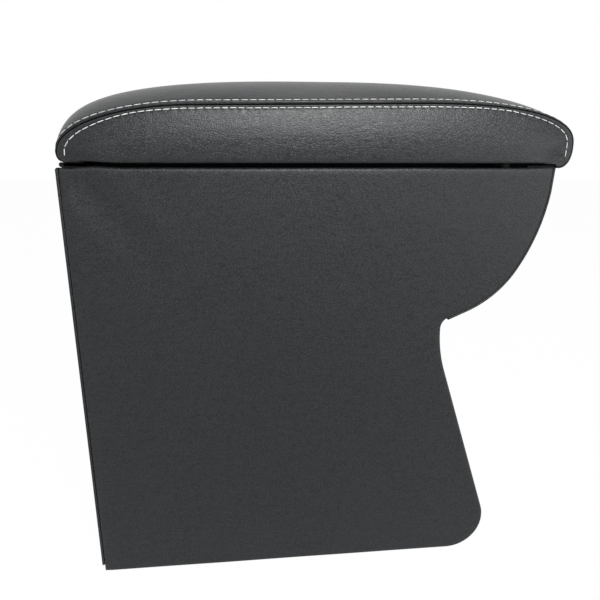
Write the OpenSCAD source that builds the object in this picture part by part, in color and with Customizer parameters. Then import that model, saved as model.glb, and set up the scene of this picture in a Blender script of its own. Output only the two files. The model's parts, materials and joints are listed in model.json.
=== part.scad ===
// Car centre armrest: an upholstered storage box on two straddling cheeks,
// with an open-fronted gap under it and a padded, sewn lid on a piano hinge.
// X runs from the back to the front, Y is the width, Z is up.
// The origin is under the middle of the whole part, on the floor it stands on.

/* [Box] */
// Length of the box at its rim, from the back face to the front face
box_l = 320; // [300:1:350]
// Width of the box over both covered cheeks
box_w = 151; // [135:1:180]
// Height of the covered rim above the floor
box_h = 294.5; // [270:0.5:330]
// Thickness of the leatherette on the cheeks and the lid
skin_t = 1.2; // [0.8:0.1:1.6]
// Thickness of the lined leatherette over the front and the back
trim_t = 1.6; // [1.2:0.1:2]
// Thickness of each cheek board
cheek_t = 9; // [6:0.5:12]
// Thickness of the back panel, which also carries the hinge
back_t = 15; // [12:1:18]
// Height of the back panel's lower edge above the floor
back_lift = 7; // [4:1:40]
// Thickness of the bent front panel
front_t = 4; // [3:0.5:6]
// Thickness of the compartment floor
floor_t = 6; // [4:1:10]
// Thickness of the felt liner in the compartment
liner_t = 2; // [1:0.5:3]
// Width of the leatherette turned over onto the cheeks' inner faces
hem_w = 10; // [6:0.5:10]
// Radius of the soft edge where leatherette turns over a board
edge_r = 2; // [1.5:0.1:3]

/* [Cheek outline] */
// Radius of the long upper part of the overhanging nose
nose_r = 133; // [115:1:150]
// Radius of the tighter lower part of the nose
nose_low_r = 74; // [60:1:90]
// Turn of the nose, from the rim down, at which the tighter part starts
nose_turn = 31; // [24:1:38]
// Slope of the underside between the nose and the notch, in degrees
nose_slope = 24; // [21:1:28]
// Distance from the box's front face back to the deepest point of the notch
notch_setback = 71; // [66:1:80]
// Radius at the top of the notch
notch_r = 8.5; // [6:0.5:12]
// Radius of the long curve from the notch into the leg
leg_r = 101; // [80:1:120]
// Lean of the leg's front edge from upright, in degrees
leg_lean = 18.3; // [12:0.1:22]
// Radius of the foot's front corner
foot_r = 27.5; // [20:0.5:34]

/* [Lid] */
// Air between the box rim and the closed lid
lid_gap = 3.4; // [3.2:0.1:4.5]
// How far each seam lies inside the box's side
seam_inset = 2; // [1:0.5:4]
// How far each side panel bulges past its seam
side_bulge = 3; // [2.4:0.1:5]
// Lid's rear end at the seams, measured from the box's back face
rear_seam_x = 1.5; // [0:0.5:3]
// Extra reach of the lid's rear end at the middle
rear_bow = 5; // [2:0.5:6]
// Overhang of the lid's front end past the box at the seams
front_over = 11; // [8:0.5:25]
// Extra reach of the lid's front end at the middle
front_bow = 3.5; // [1:0.5:8]
// Height of the seams' crest above the lid's underside
seam_h = 37; // [32:0.5:45]
// Drop of the seam from its front crest to its rear crest
seam_fall = 2; // [0:0.5:4]
// Height of the padded crown above the lid's underside
crown_h = 54; // [48:0.5:64]
// Thickness of the lid board
lid_board_t = 8; // [6:0.5:10]
// Inset of the lid board from the seams, filled with foam
board_inset = 6; // [5:0.5:9]
// Width of the leatherette turned under the lid
lid_hem_w = 13; // [9:0.5:13]
// Thickness of the panel that nests in the box's mouth
nest_board_t = 8; // [5:0.5:10]
// Thickness of the felt over that panel
nest_felt_t = 1.5; // [1:0.25:2]
// Clearance between the felted panel and the compartment's mouth
nest_gap = 1.9; // [1.5:0.1:4]

/* [Hinge] */
// Distance from each end of the piano hinge to the box's side
hinge_margin = 5.5; // [4:0.5:12]
// Width of each hinge leaf, from the pin's axis
leaf_w = 13; // [11:0.5:14]
// Thickness of each hinge leaf
leaf_t = 0.7; // [0.5:0.1:0.8]
// Number of knuckles, one more on the box leaf than on the lid leaf
knuckles = 15; // [9:2:21]
// Outer radius of the knuckles
knuckle_r = 1.5; // [1.3:0.05:1.6]
// Radius of the hinge pin
pin_r = 0.8; // [0.6:0.05:0.9]
// Distance of the pin's axis from the box's back face
axis_x = 2.5; // [2:0.1:3]
// Number of screws in the box leaf; the lid leaf has one fewer, between them
hinge_screws = 5; // [3:1:7]

/* [Fittings] */
// Height and width of the battens that carry the floor
cleat_w = 12; // [10:1:16]
// Number of screws in each batten
cleat_screw_n = 3; // [2:1:4]
// Number of screws through each cheek into the back panel
panel_screw_n = 3; // [2:1:5]
// Radius of the wood screws' shanks
screw_r = 1.75; // [1.5:0.05:2]
// Radius of the rubber buffers under the lid's front corners
buffer_r = 3.5; // [2.5:0.5:4]

/* [Hidden] */

// Overrun of a cutting solid past the face that it cuts
over = 1;
// Play between a panel's end and the leatherette beside it
seat_gap = 0.1;
// Steps of the curves in an outline
nose_steps = 8;
nose_low_steps = 11;
notch_steps = 6;
leg_steps = 6;
foot_steps = 12;
edge_steps = 3;

// Planes across the width, as distances from the middle
cheek_outer_y = box_w / 2;
board_outer_y = cheek_outer_y - skin_t;
board_inner_y = board_outer_y - cheek_t;
hem_y = board_inner_y - skin_t;
panel_y = hem_y - seat_gap;
liner_y = panel_y - liner_t;
seam_y = cheek_outer_y - seam_inset;
hinge_l = box_w - 2 * hinge_margin;

// Places along the length, measured from the box's back face
lid_front_x = box_l + front_over + front_bow;
lid_rear_x = rear_seam_x - rear_bow;
back_x = -(lid_front_x + lid_rear_x) / 2;
panel_front_x = trim_t + back_t;

// Nose: centres of its two curves, and the line that runs from it to the notch
rim_turn = 7;
nose_x = box_l - nose_r;
nose_low_x = nose_x + (nose_r - nose_low_r) * cos(nose_turn);
nose_low_z = box_h - (nose_r - nose_low_r) * sin(nose_turn);
notch_x = box_l - notch_setback;
throat_x = notch_x + notch_r * (1 - sin(nose_slope));
function nose_end(g) = [
    nose_low_x + (nose_low_r - g) * sin(nose_slope),
    nose_low_z - (nose_low_r - g) * cos(nose_slope)
];
function slope_z(g, x) = nose_end(g).y - (nose_end(g).x - x) * tan(nose_slope);
floor_z = slope_z(trim_t, throat_x);
floor_top = floor_z + floor_t;
notch_z = floor_z - notch_r * cos(nose_slope);

// Leg: the point where its curve ends, and the centre of the foot's corner
leg_top = [
    notch_x + leg_r * (1 - cos(leg_lean)),
    notch_z - leg_r * sin(leg_lean)
];
foot_x = leg_top.x + (leg_top.y - foot_r) * tan(leg_lean) - foot_r / cos(leg_lean);

function arc(cx, cy, r, a0, a1, steps, first = 0) = [
    for (i = [first:steps])
        let (a = a0 + (a1 - a0) * i / steps)
        [cx + r * cos(a), cy + r * sin(a)]
];
function reversed(list) = [for (i = [len(list) - 1:-1:0]) list[i]];

// Front of the box, drawn inwards by g: a straight stretch from the height top,
// the long upper curve, and the tighter lower curve
function nose_path(g, top) = concat(
    [[box_l - g - (box_h - top) * tan(rim_turn / 2), top]],
    arc(nose_x, box_h, nose_r - g, -rim_turn, -nose_turn, nose_steps),
    arc(nose_low_x, nose_low_z, nose_low_r - g, -nose_turn, nose_slope - 90, nose_low_steps, 1)
);

// Side view of a covered cheek, drawn inwards by g
function cheek_outline(g) = concat(
    [[trim_t + g, box_h - g]],
    nose_path(trim_t + g, box_h - g),
    arc(notch_x + notch_r, notch_z, notch_r + g, 90 + nose_slope, 180, notch_steps),
    arc(notch_x + leg_r, notch_z, leg_r + g, 180, 180 + leg_lean, leg_steps, 1),
    arc(foot_x, foot_r, foot_r - g, leg_lean, -90, foot_steps),
    [[trim_t + g, g]]
);

// Side view of the front, drawn inwards by g from the outermost face
function front_path(g, top, end_x) = concat(
    nose_path(g, top),
    [[end_x, slope_z(g, end_x)]]
);
function at_y(path, y) = [for (p = path) [p.x, y, p.y]];

// Closed mesh through rings of equal length, running from left to right.
// Its ends are flat polygons, fans round a centre, or thin strips of a sheet.
function centre(ring) = [for (i = [0:2]) [for (p = ring) p[i]] * [for (p = ring) 1] / len(ring)];
function fan(n, from, hub, turn) = [
    for (i = [0:n - 1])
        let (a = from + i, b = from + (i + 1) % n)
        turn ? [b, a, hub] : [a, b, hub]
];
function thin(n, from, turn) = [
    for (i = [0:n / 2 - 2])
        let (a = from + i, b = from + n - 1 - i)
        each turn ? [[b, b - 1, a + 1], [b, a + 1, a]] : [[b, a + 1, b - 1], [b, a, a + 1]]
];
function flat(n, from, turn) = [
    turn ? [for (i = [n - 1:-1:0]) from + i] : [for (i = [0:n - 1]) from + i]
];
module skinned(rings, ends = "flat") {
    n = len(rings[0]);
    m = len(rings);
    last = (m - 1) * n;
    walls = [
        for (j = [0:m - 2], i = [0:n - 1])
            let (a = j * n + i, b = j * n + (i + 1) % n)
            each [[a, b, b + n], [a, b + n, a + n]]
    ];
    caps = ends == "fan" ? concat(fan(n, 0, m * n, true), fan(n, last, m * n + 1, false))
        : ends == "thin" ? concat(thin(n, 0, true), thin(n, last, false))
        : concat(flat(n, 0, true), flat(n, last, false));
    hubs = ends == "fan" ? [centre(rings[0]), centre(rings[m - 1])] : [];
    polyhedron(concat([for (ring = rings) each ring], hubs), concat(walls, caps));
}
module across(y0, y1) {
    translate([0, y1, 0]) rotate([90, 0, 0]) linear_extrude(y1 - y0) children();
}
module in_row() {
    translate([back_x, 0, 0]) children();
}
module left() {
    children();
}
module right() {
    mirror([0, 1, 0]) children();
}

// Countersunk wood screw that points along +Z, its head's face at zero
screw_head_r = 2 * screw_r;
module wood_screw(length, grow = 0) {
    rotate_extrude($fn = 32) polygon([
        [0, 0],
        [screw_head_r + grow, 0],
        [screw_r + grow, screw_r],
        [screw_r + grow, length - screw_r],
        [0, length + grow]
    ]);
}
pilot_gap = 0.03;

// Places of the screws through the cheeks into the back panel
panel_screw_l = 38;
panel_screw_margin = 34;
module panel_screw_set(grow = 0) {
    for (side = [-1, 1], i = [0:panel_screw_n - 1]) {
        span = box_h - 2 * panel_screw_margin;
        z = panel_screw_margin + span * i / (panel_screw_n - 1);
        translate([trim_t + back_t / 2, side * board_outer_y, z])
            rotate([side * 90, 0, 0])
                wood_screw(panel_screw_l, grow);
    }
}

// Battens, clear of the hem round the notch, and their screws
cleat_x0 = panel_front_x + cleat_w;
cleat_x1 = notch_x - hem_w - 2 * edge_r;
cleat_screw_l = cleat_w + 0.6 * cheek_t;
cleat_screw_margin = 20;
module cleat_screw_set(grow = 0) {
    for (side = [-1, 1], i = [0:cleat_screw_n - 1]) {
        span = cleat_x1 - cleat_x0 - 2 * cleat_screw_margin;
        x = cleat_x0 + cleat_screw_margin + span * i / (cleat_screw_n - 1);
        translate([x, side * (board_inner_y - cleat_w), floor_z - cleat_w / 2])
            rotate([-side * 90, 0, 0])
                wood_screw(cleat_screw_l, grow);
    }
}

module cheek() {
    in_row() difference() {
        across(board_inner_y, board_outer_y) polygon(cheek_outline(skin_t));
        panel_screw_set(pilot_gap);
        cleat_screw_set(pilot_gap);
    }
}
module left_cheek() {
    color("burlywood") left() cheek();
}
module right_cheek() {
    color("burlywood") right() cheek();
}

// Leatherette over the outer face and all edges, turned in as a hem
function edge_ring(turn, outward, y) = at_y(
    cheek_outline(edge_r * (1 - sin(turn))),
    y + outward * edge_r * (1 - cos(turn))
);
module cheek_cover() {
    outer = [
        for (i = [0:edge_steps])
            edge_ring(90 * i / edge_steps, -1, cheek_outer_y)
    ];
    inner = [
        for (i = [edge_steps:-1:0])
            edge_ring(90 * i / edge_steps, 1, hem_y)
    ];
    in_row() skinned(concat(
        outer, inner,
        [
            at_y(cheek_outline(hem_w), hem_y),
            at_y(cheek_outline(hem_w), board_inner_y),
            at_y(cheek_outline(skin_t), board_inner_y),
            at_y(cheek_outline(skin_t), board_outer_y)
        ]
    ));
}
module left_cheek_cover() {
    color("dimgray") left() cheek_cover();
}
module right_cheek_cover() {
    color("dimgray") right() cheek_cover();
}

module back_panel() {
    color("burlywood") in_row() difference() {
        across(-panel_y, panel_y)
            translate([trim_t, back_lift])
                square([back_t, box_h - trim_t - back_lift]);
        panel_screw_set(pilot_gap);
        hinge_screw_set(1, pilot_gap);
    }
}

// Leatherette down the back, turned over the panel's top and bottom edges
module back_cover() {
    cover_y = cheek_outer_y - edge_r / 2;
    bottom = back_lift - trim_t;
    color("dimgray") in_row() difference() {
        union() {
            across(-cover_y, cover_y) {
                translate([0, bottom]) square([trim_t, box_h - bottom - trim_t]);
                translate([trim_t, box_h - trim_t]) intersection() {
                    circle(trim_t, $fn = 48);
                    translate([-trim_t, 0]) square(trim_t);
                }
            }
            across(-panel_y, panel_y) {
                translate([trim_t, box_h - trim_t]) square([back_t, trim_t]);
                translate([0, bottom]) square([trim_t + back_t, trim_t]);
            }
        }
        hinge_screw_set(1, pilot_gap);
    }
}

module front_panel() {
    top = box_h - trim_t;
    color("burlywood") in_row() across(-panel_y, panel_y) polygon(concat(
        front_path(trim_t, top, throat_x),
        reversed(front_path(trim_t + front_t, top, throat_x))
    ));
}

// Leatherette round the front, over the cheeks' edges, tucked under the floor
front_tuck = 14;
module front_cover() {
    cover_y = cheek_outer_y - edge_r / 2;
    color("dimgray") in_row() {
        across(-cover_y, cover_y) polygon(concat(
            front_path(0, box_h, throat_x),
            reversed(front_path(trim_t, box_h, throat_x))
        ));
        across(-panel_y, panel_y) {
            translate([box_l - trim_t - front_t, box_h - trim_t])
                square([front_t, trim_t]);
            translate([throat_x - front_tuck, floor_z - trim_t])
                square([front_tuck, trim_t]);
            polygon([
                [throat_x, slope_z(0, throat_x)],
                [throat_x, floor_z],
                [throat_x - trim_t, floor_z],
                [throat_x - trim_t, floor_z - trim_t]
            ]);
        }
    }
}

module compartment_floor() {
    color("burlywood") in_row() across(-panel_y, panel_y)
        translate([panel_front_x, floor_z])
            square([throat_x - panel_front_x, floor_t]);
}

module floor_cleat() {
    in_row() difference() {
        across(board_inner_y - cleat_w, board_inner_y)
            translate([cleat_x0, floor_z - cleat_w])
                square([cleat_x1 - cleat_x0, cleat_w]);
        cleat_screw_set(pilot_gap);
    }
}
module left_floor_cleat() {
    color("tan") left() floor_cleat();
}
module right_floor_cleat() {
    color("tan") right() floor_cleat();
}

// Felt tub that lines the compartment, open at the top
liner_drop = 3;
module compartment_section(g, top) {
    low = floor_top + g;
    intersection() {
        polygon(concat(
            front_path(trim_t + front_t + g, top, notch_x),
            [[panel_front_x + g, slope_z(trim_t + front_t + g, notch_x)], [panel_front_x + g, top]]
        ));
        translate([panel_front_x + g, low])
            square([box_l, top - low]);
    }
}
module compartment_liner() {
    top = box_h - liner_drop;
    color("darkslategray") in_row() difference() {
        across(-panel_y, panel_y) compartment_section(0, top);
        across(-liner_y, liner_y) compartment_section(liner_t, top + over);
    }
}

// Piano hinge: both leaves lie in the gap, closed on each other
axis_z = box_h + lid_gap / 2;
knuckle_gap = 0.3;
knuckle_pitch = hinge_l / knuckles;
bore_gap = 0.05;
leaf_notch = knuckle_r + knuckle_gap;
hinge_screw_r = 1.25;
hinge_screw_head_r = 2.3;
hinge_screw_l = 14;
screw_tip_gap = 1;
hinge_screw_inset = 6;
leaf_screw_x = axis_x + leaf_w - 1.6 * hinge_screw_head_r;

// Countersunk hinge screws; up is 1 for the box and -1 for the lid
module hinge_screw_set(up, grow = 0) {
    face_z = axis_z - up * (lid_gap / 2 - leaf_t);
    length = up > 0 ? hinge_screw_l : leaf_t + skin_t + lid_board_t - screw_tip_gap;
    last = up > 0 ? hinge_screws - 1 : hinge_screws - 2;
    step = 2 * (panel_y - hinge_screw_inset) / (hinge_screws - 1);
    for (i = [0:last])
        translate([leaf_screw_x, (i - last / 2) * step, face_z]) rotate([up > 0 ? 180 : 0, 0, 0])
            rotate_extrude($fn = 32) polygon([
                [0, 0],
                [hinge_screw_head_r + grow, 0],
                [hinge_screw_r + grow, hinge_screw_head_r - hinge_screw_r],
                [hinge_screw_r + grow, length - hinge_screw_r],
                [0, length + grow]
            ]);
}

// One leaf with its own knuckles, every second one from the first
module hinge_leaf(up, first) {
    seat_z = axis_z - up * lid_gap / 2;
    leaf_z = up > 0 ? seat_z : seat_z - leaf_t;
    in_row() difference() {
        union() {
            translate([axis_x + leaf_notch, -hinge_l / 2, leaf_z])
                cube([leaf_w - leaf_notch, hinge_l, leaf_t]);
            for (i = [first:2:knuckles - 1])
                translate([axis_x, -hinge_l / 2 + i * knuckle_pitch + knuckle_gap / 2, 0]) {
                    translate([0, 0, leaf_z])
                        cube([leaf_notch + over, knuckle_pitch - knuckle_gap, leaf_t]);
                    translate([0, knuckle_pitch - knuckle_gap, axis_z]) rotate([90, 0, 0])
                        cylinder(r = knuckle_r, h = knuckle_pitch - knuckle_gap, $fn = 48);
                }
        }
        translate([axis_x, hinge_l / 2 + over, axis_z]) rotate([90, 0, 0])
            cylinder(r = pin_r + bore_gap, h = hinge_l + 2 * over, $fn = 48);
        hinge_screw_set(up, pilot_gap);
    }
}
module box_hinge_leaf() {
    color("silver") hinge_leaf(1, 0);
}
module lid_hinge_leaf() {
    color("silver") hinge_leaf(-1, 1);
}
module hinge_pin() {
    color("gainsboro") in_row()
        translate([axis_x, hinge_l / 2, axis_z]) rotate([90, 0, 0])
            cylinder(r = pin_r, h = hinge_l, $fn = 48);
}
module box_hinge_screws() {
    color("gainsboro") in_row() hinge_screw_set(1);
}
module lid_hinge_screws() {
    color("gainsboro") in_row() hinge_screw_set(-1);
}
module panel_screws() {
    color("gainsboro") in_row() panel_screw_set();
}
module cleat_screws() {
    color("gainsboro") in_row() cleat_screw_set();
}

// Rubber buffers on the cheeks' rims keep the lid level when it is closed
buffer_gap = 0.2;
buffer_x = box_l - 34;
module rim_buffers() {
    color("black") in_row() for (side = [-1, 1])
        translate([buffer_x, side * (board_inner_y + cheek_t / 2), box_h])
            cylinder(r = buffer_r, h = lid_gap - buffer_gap, $fn = 40);
}

// Lid: side loops swept across the width, from one seam to the other.
// Each value pair gives the loop at a seam and at the middle of the lid.
lid_z = box_h + lid_gap;
crown_power = 3.4;
loop_front_x = [box_l + front_over, lid_front_x];
loop_rear_x = [rear_seam_x, lid_rear_x];
loop_top_z = [lid_z + seam_h - seam_fall, lid_z + crown_h];
loop_top_front_z = [lid_z + seam_h, lid_z + crown_h];
rear_shoulder_share = [0.26, 0.53];
front_shoulder_share = [0.293, 0.45];
rear_shoulder_power = [2, 3.05];
front_shoulder_power = [2.5, 2.26];
rear_side_share = [0.15, 0.32];
front_side_share = [0.3, 0.26];
rear_corner_x = [3.6, 8];
rear_corner_z = [3.6, 11];
front_corner_x = [8, 9];
front_corner_z = [9, 10];
corner_steps = 4;
shoulder_steps = 12;
top_steps = 3;
strip_share = [-1, -0.93, -0.82, -0.68, -0.5, -0.27, 0, 0.27, 0.5, 0.68, 0.82, 0.93, 1];

function mid(pair, k) = pair[0] + (pair[1] - pair[0]) * k;
function crown(v) = 1 - pow(abs(v), crown_power);
function bend(cx, cz, a, b, power, a0, a1, steps, first = 0) = [
    for (i = [first:steps])
        let (t = a0 + (a1 - a0) * i / steps, c = cos(t), s = sin(t))
        [
            cx + a * sign(c) * pow(abs(c), 2 / power),
            cz + b * sign(s) * pow(abs(s), 2 / power)
        ]
];

// Open side loop from the rear underside over the top to the front underside
function lid_path(k, g) = let (
    rear = mid(loop_rear_x, k),
    front = mid(loop_front_x, k),
    span = front - rear,
    rear_z = lid_z + mid(rear_side_share, k) * seam_h,
    front_z = lid_z + mid(front_side_share, k) * seam_h,
    rear_a = span * mid(rear_shoulder_share, k),
    front_a = span * mid(front_shoulder_share, k),
    rear_b = mid(loop_top_z, k) - rear_z,
    front_b = mid(loop_top_front_z, k) - front_z,
    cx0 = mid(rear_corner_x, k),
    cz0 = mid(rear_corner_z, k),
    cx1 = mid(front_corner_x, k),
    cz1 = mid(front_corner_z, k),
    over_rear = bend(rear + rear_a, rear_z, rear_a - g, rear_b - g,
        mid(rear_shoulder_power, k), 180, 90, shoulder_steps),
    over_front = bend(front - front_a, front_z, front_a - g, front_b - g,
        mid(front_shoulder_power, k), 90, 0, shoulder_steps),
    a = over_rear[shoulder_steps],
    b = over_front[0]
) concat(
    bend(rear + cx0, lid_z + cz0, cx0 - g, cz0 - g, 2, 270, 180, corner_steps),
    over_rear,
    [for (i = [1:top_steps - 1]) a + (b - a) * i / top_steps],
    over_front,
    bend(front - cx1, lid_z + cz1, cx1 - g, cz1 - g, 2, 360, 270, corner_steps)
);

// Leatherette strip over the lid, turned under at both ends with mitred corners
mitre_gap = 1;
function hem_reach(v) = max(mitre_gap, min(lid_hem_w, seam_y * (1 - abs(v))));
function strip_ring(v) = let (
    outer = lid_path(crown(v), 0),
    inner = lid_path(crown(v), skin_t),
    last = len(outer) - 1,
    x0 = outer[0].x + hem_reach(v),
    x1 = outer[last].x - hem_reach(v)
) at_y(concat(
    [[x0, lid_z]], outer, [[x1, lid_z]],
    [[x1, lid_z + skin_t]], reversed(inner), [[x0, lid_z + skin_t]]
), v * seam_y);
module lid_centre_strip() {
    color("dimgray") in_row() skinned([for (v = strip_share) strip_ring(-v)], "thin");
}

// Ring round a side panel: y and g for its curved edge, low_y and low_z below
function side_ring(g, y, low_y, low_z) = let (
    path = lid_path(0, g),
    reach = lid_hem_w + mitre_gap
) concat(at_y(path, y), [
    [path[len(path) - 1].x - reach, low_y, low_z],
    [path[0].x + reach, low_y, low_z]
]);
side_edge = 0.8;
side_inset_share = [0.92, 0.45, 0.16];
side_bulge_share = [1, 0.8, 0.45];
side_in_share = [0.92, 0.55];
side_first_g = 0.15;
side_outer_rings = concat(
    [
        for (i = [0:2])
            let (g = side_inset_share[i] * rear_corner_x[0])
            let (y = seam_y + side_bulge_share[i] * side_bulge)
            side_ring(g, y, y, lid_z + g)
    ],
    [
        side_ring(side_first_g, seam_y + side_first_g, seam_y - side_edge, lid_z),
        side_ring(0, seam_y, seam_y - lid_hem_w, lid_z)
    ]
);
side_lining_rings = concat(
    [
        for (i = [0:1])
            let (g = side_in_share[i] * rear_corner_x[0])
            let (y = seam_y + side_bulge_share[i] * side_bulge - skin_t)
            side_ring(g, y, y, lid_z + g)
    ],
    [side_ring(skin_t + side_first_g, seam_y + side_first_g, seam_y - side_edge, lid_z + skin_t)]
);
module lid_side() {
    in_row() skinned(concat(
        side_outer_rings,
        [side_ring(skin_t, seam_y, seam_y - lid_hem_w, lid_z + skin_t)],
        reversed(side_lining_rings)
    ), "fan");
}
module lid_left_side() {
    color("dimgray") left() lid_side();
}
module lid_right_side() {
    color("dimgray") right() lid_side();
}

// Lid board, and the foam that fills the cover round it
board_margin = 1;
board_corner_r = 8;
board_x0 = rear_seam_x + rear_corner_x[0] + board_margin;
board_x1 = box_l + front_over - front_corner_x[0] - board_margin;
board_y = seam_y - board_inset;
board_z = lid_z + skin_t;
module rounded_plan(x0, x1, half, r) {
    translate([x0, -half + r]) square([x1 - x0, 2 * (half - r)]);
    translate([x0 + r, -half]) square([x1 - x0 - 2 * r, 2 * half]);
    for (x = [x0 + r, x1 - r], y = [-half + r, half - r])
        translate([x, y]) circle(r, $fn = 48);
}
module lid_board() {
    color("burlywood") in_row() difference() {
        translate([0, 0, board_z]) linear_extrude(lid_board_t)
            rounded_plan(board_x0, board_x1, board_y, board_corner_r);
        hinge_screw_set(-1, pilot_gap);
        nest_screw_set(pilot_gap);
    }
}
foam_play = 0.2;
function foam_ring(v) = let (
    path = lid_path(crown(v), skin_t + foam_play),
    reach = lid_hem_w + mitre_gap,
    low_y = v * (seam_y - (abs(v) == 1 ? 2 * side_edge : 0))
) concat(at_y(path, v * seam_y), [
    [path[len(path) - 1].x - reach, low_y, board_z],
    [path[0].x + reach, low_y, board_z]
]);
function mirrored(ring) = [for (p = ring) [p.x, -p.y, p.z]];
module lid_foam() {
    color("khaki") in_row() difference() {
        skinned(concat(
            side_lining_rings,
            [for (v = strip_share) foam_ring(-v)],
            [for (ring = reversed(side_lining_rings)) mirrored(ring)]
        ), "fan");
        translate([0, 0, board_z - over]) linear_extrude(lid_board_t + over)
            rounded_plan(board_x0, board_x1, board_y, board_corner_r);
    }
}

// Felted panel under the lid that nests in the compartment's mouth
nest_x0 = panel_front_x + liner_t + nest_gap;
nest_x1 = box_l - trim_t - front_t - liner_t - nest_gap;
nest_y = liner_y - nest_gap;
nest_corner_r = 6;
nest_board_z = board_z - nest_board_t;
nest_screw_margin = 26;
nest_screw_l = nest_board_t + lid_board_t - screw_tip_gap;
module nest_screw_set(grow = 0) {
    x0 = nest_x0 + nest_screw_margin;
    x1 = nest_x1 - nest_screw_margin;
    y = nest_y - nest_screw_margin;
    for (x = [x0, x1], side = [-1, 1])
        translate([x, side * y, nest_board_z]) wood_screw(nest_screw_l, grow);
}
module nest_core(top) {
    translate([0, 0, nest_board_z]) linear_extrude(top - nest_board_z)
        rounded_plan(nest_x0 + nest_felt_t, nest_x1 - nest_felt_t,
            nest_y - nest_felt_t, nest_corner_r - nest_felt_t);
}
module nest_board() {
    color("burlywood") in_row() difference() {
        nest_core(board_z);
        nest_screw_set(pilot_gap);
    }
}
module nest_felt() {
    color("darkslategray") in_row() difference() {
        translate([0, 0, nest_board_z - nest_felt_t])
            linear_extrude(nest_board_t + nest_felt_t)
                rounded_plan(nest_x0, nest_x1, nest_y, nest_corner_r);
        nest_core(board_z + over);
    }
}
module nest_screws() {
    color("gainsboro") in_row() nest_screw_set();
}

left_cheek();
right_cheek();
left_cheek_cover();
right_cheek_cover();
back_panel();
back_cover();
front_panel();
front_cover();
compartment_floor();
left_floor_cleat();
right_floor_cleat();
compartment_liner();
box_hinge_leaf();
hinge_pin();
box_hinge_screws();
rim_buffers();
panel_screws();
cleat_screws();
lid_board();
lid_foam();
lid_centre_strip();
lid_left_side();
lid_right_side();
nest_board();
nest_felt();
lid_hinge_leaf();
lid_hinge_screws();
nest_screws();
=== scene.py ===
"""Looks of a car centre armrest: leatherette, sewn padded lid, felt, plywood and hinge."""

import json
import math

import bmesh
import bpy
import numpy as np
from bpy.props import FloatProperty, FloatVectorProperty, IntProperty, PointerProperty
from mathutils import Matrix, Vector, noise
from mathutils.bvhtree import BVHTree

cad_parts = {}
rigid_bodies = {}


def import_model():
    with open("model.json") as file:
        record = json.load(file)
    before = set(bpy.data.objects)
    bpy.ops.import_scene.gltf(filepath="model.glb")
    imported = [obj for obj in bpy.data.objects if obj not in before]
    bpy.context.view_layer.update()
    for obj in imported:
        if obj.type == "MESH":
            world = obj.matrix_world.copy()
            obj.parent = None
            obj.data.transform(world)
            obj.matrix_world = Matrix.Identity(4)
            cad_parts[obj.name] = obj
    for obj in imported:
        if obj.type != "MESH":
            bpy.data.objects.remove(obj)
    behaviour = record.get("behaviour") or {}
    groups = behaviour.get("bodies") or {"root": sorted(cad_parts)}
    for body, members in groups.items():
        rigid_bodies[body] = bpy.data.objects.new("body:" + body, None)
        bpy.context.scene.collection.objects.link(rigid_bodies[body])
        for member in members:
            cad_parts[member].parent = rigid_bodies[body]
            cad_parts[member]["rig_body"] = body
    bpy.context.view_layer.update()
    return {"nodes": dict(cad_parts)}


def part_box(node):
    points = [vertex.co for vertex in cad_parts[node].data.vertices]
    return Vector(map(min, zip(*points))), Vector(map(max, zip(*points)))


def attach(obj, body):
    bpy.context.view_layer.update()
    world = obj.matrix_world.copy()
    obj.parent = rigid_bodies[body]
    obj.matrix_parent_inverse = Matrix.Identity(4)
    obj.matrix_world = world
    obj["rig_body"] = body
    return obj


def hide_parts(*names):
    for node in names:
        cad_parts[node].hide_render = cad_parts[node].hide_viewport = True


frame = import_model()

bl_info = {
    "name": "Car Centre Armrest",
    "version": (1, 0, 0),
    "blender": (4, 5, 0),
    "location": "3D View > Sidebar > Armrest",
    "description": "Dresses a car centre armrest in leatherette, felt, plywood and steel",
    "category": "Object",
}

MM = 0.001
BACK_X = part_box("back_cover")[0].x
FULL_TURN = 2 * math.pi


# Settings that a user would change


def length(name, description, default):
    return FloatProperty(
        name=name, description=description, default=default, unit="LENGTH", precision=5
    )


def degrees(name, description, default):
    return FloatProperty(
        name=name, description=description, default=math.radians(default), subtype="ANGLE"
    )


def tint(name, description, default):
    return FloatVectorProperty(
        name=name, description=description, default=default, size=3, subtype="COLOR",
        min=0, max=1,
    )


class ArmrestBox(bpy.types.PropertyGroup):
    box_length: length("Box length", "Back face to front face at the rim", 320 * MM)
    rim_height: length("Rim height", "Covered rim above the floor", 294.5 * MM)
    half_width: length("Half width", "Middle to the covered side", 75.5 * MM)
    skin: length("Leatherette", "Thickness of the leatherette", 1.2 * MM)
    trim: length("Trim", "Thickness of the front and back covers", 1.6 * MM)
    cheek: length("Cheek board", "Thickness of a cheek board", 9 * MM)
    hem: length("Hem", "Width turned over onto the inner face", 10 * MM)
    edge_radius: length("Edge radius", "Radius where leatherette turns an edge", 2 * MM)
    nose_radius: length("Nose radius", "Radius of the nose's long upper part", 133 * MM)
    nose_low_radius: length("Lower nose radius", "Radius of the tighter part", 74 * MM)
    rim_turn: degrees("Rim turn", "Turn taken by the straight stretch below the rim", 7)
    nose_turn: degrees("Nose turn", "Turn at which the tighter part starts", 31)
    nose_slope: degrees("Nose slope", "Slope of the underside", 24)
    notch_setback: length("Notch setback", "Front face back to the notch", 71 * MM)
    notch_radius: length("Notch radius", "Radius at the top of the notch", 8.5 * MM)
    leg_radius: length("Leg radius", "Long curve from notch into leg", 101 * MM)
    leg_lean: degrees("Leg lean", "Lean of the leg's front edge", 18.3)
    foot_radius: length("Foot radius", "Radius of the foot's front corner", 27.5 * MM)
    corner_radius: length("Corner radius", "Radius at the rear end of the rim", 2.2 * MM)
    ripple: length("Ripple", "Height of the leatherette's soft ripples", 0.3 * MM)
    rim_wave: length("Rim wave", "Height of the soft wave in the rim", 0.9 * MM)


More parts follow.
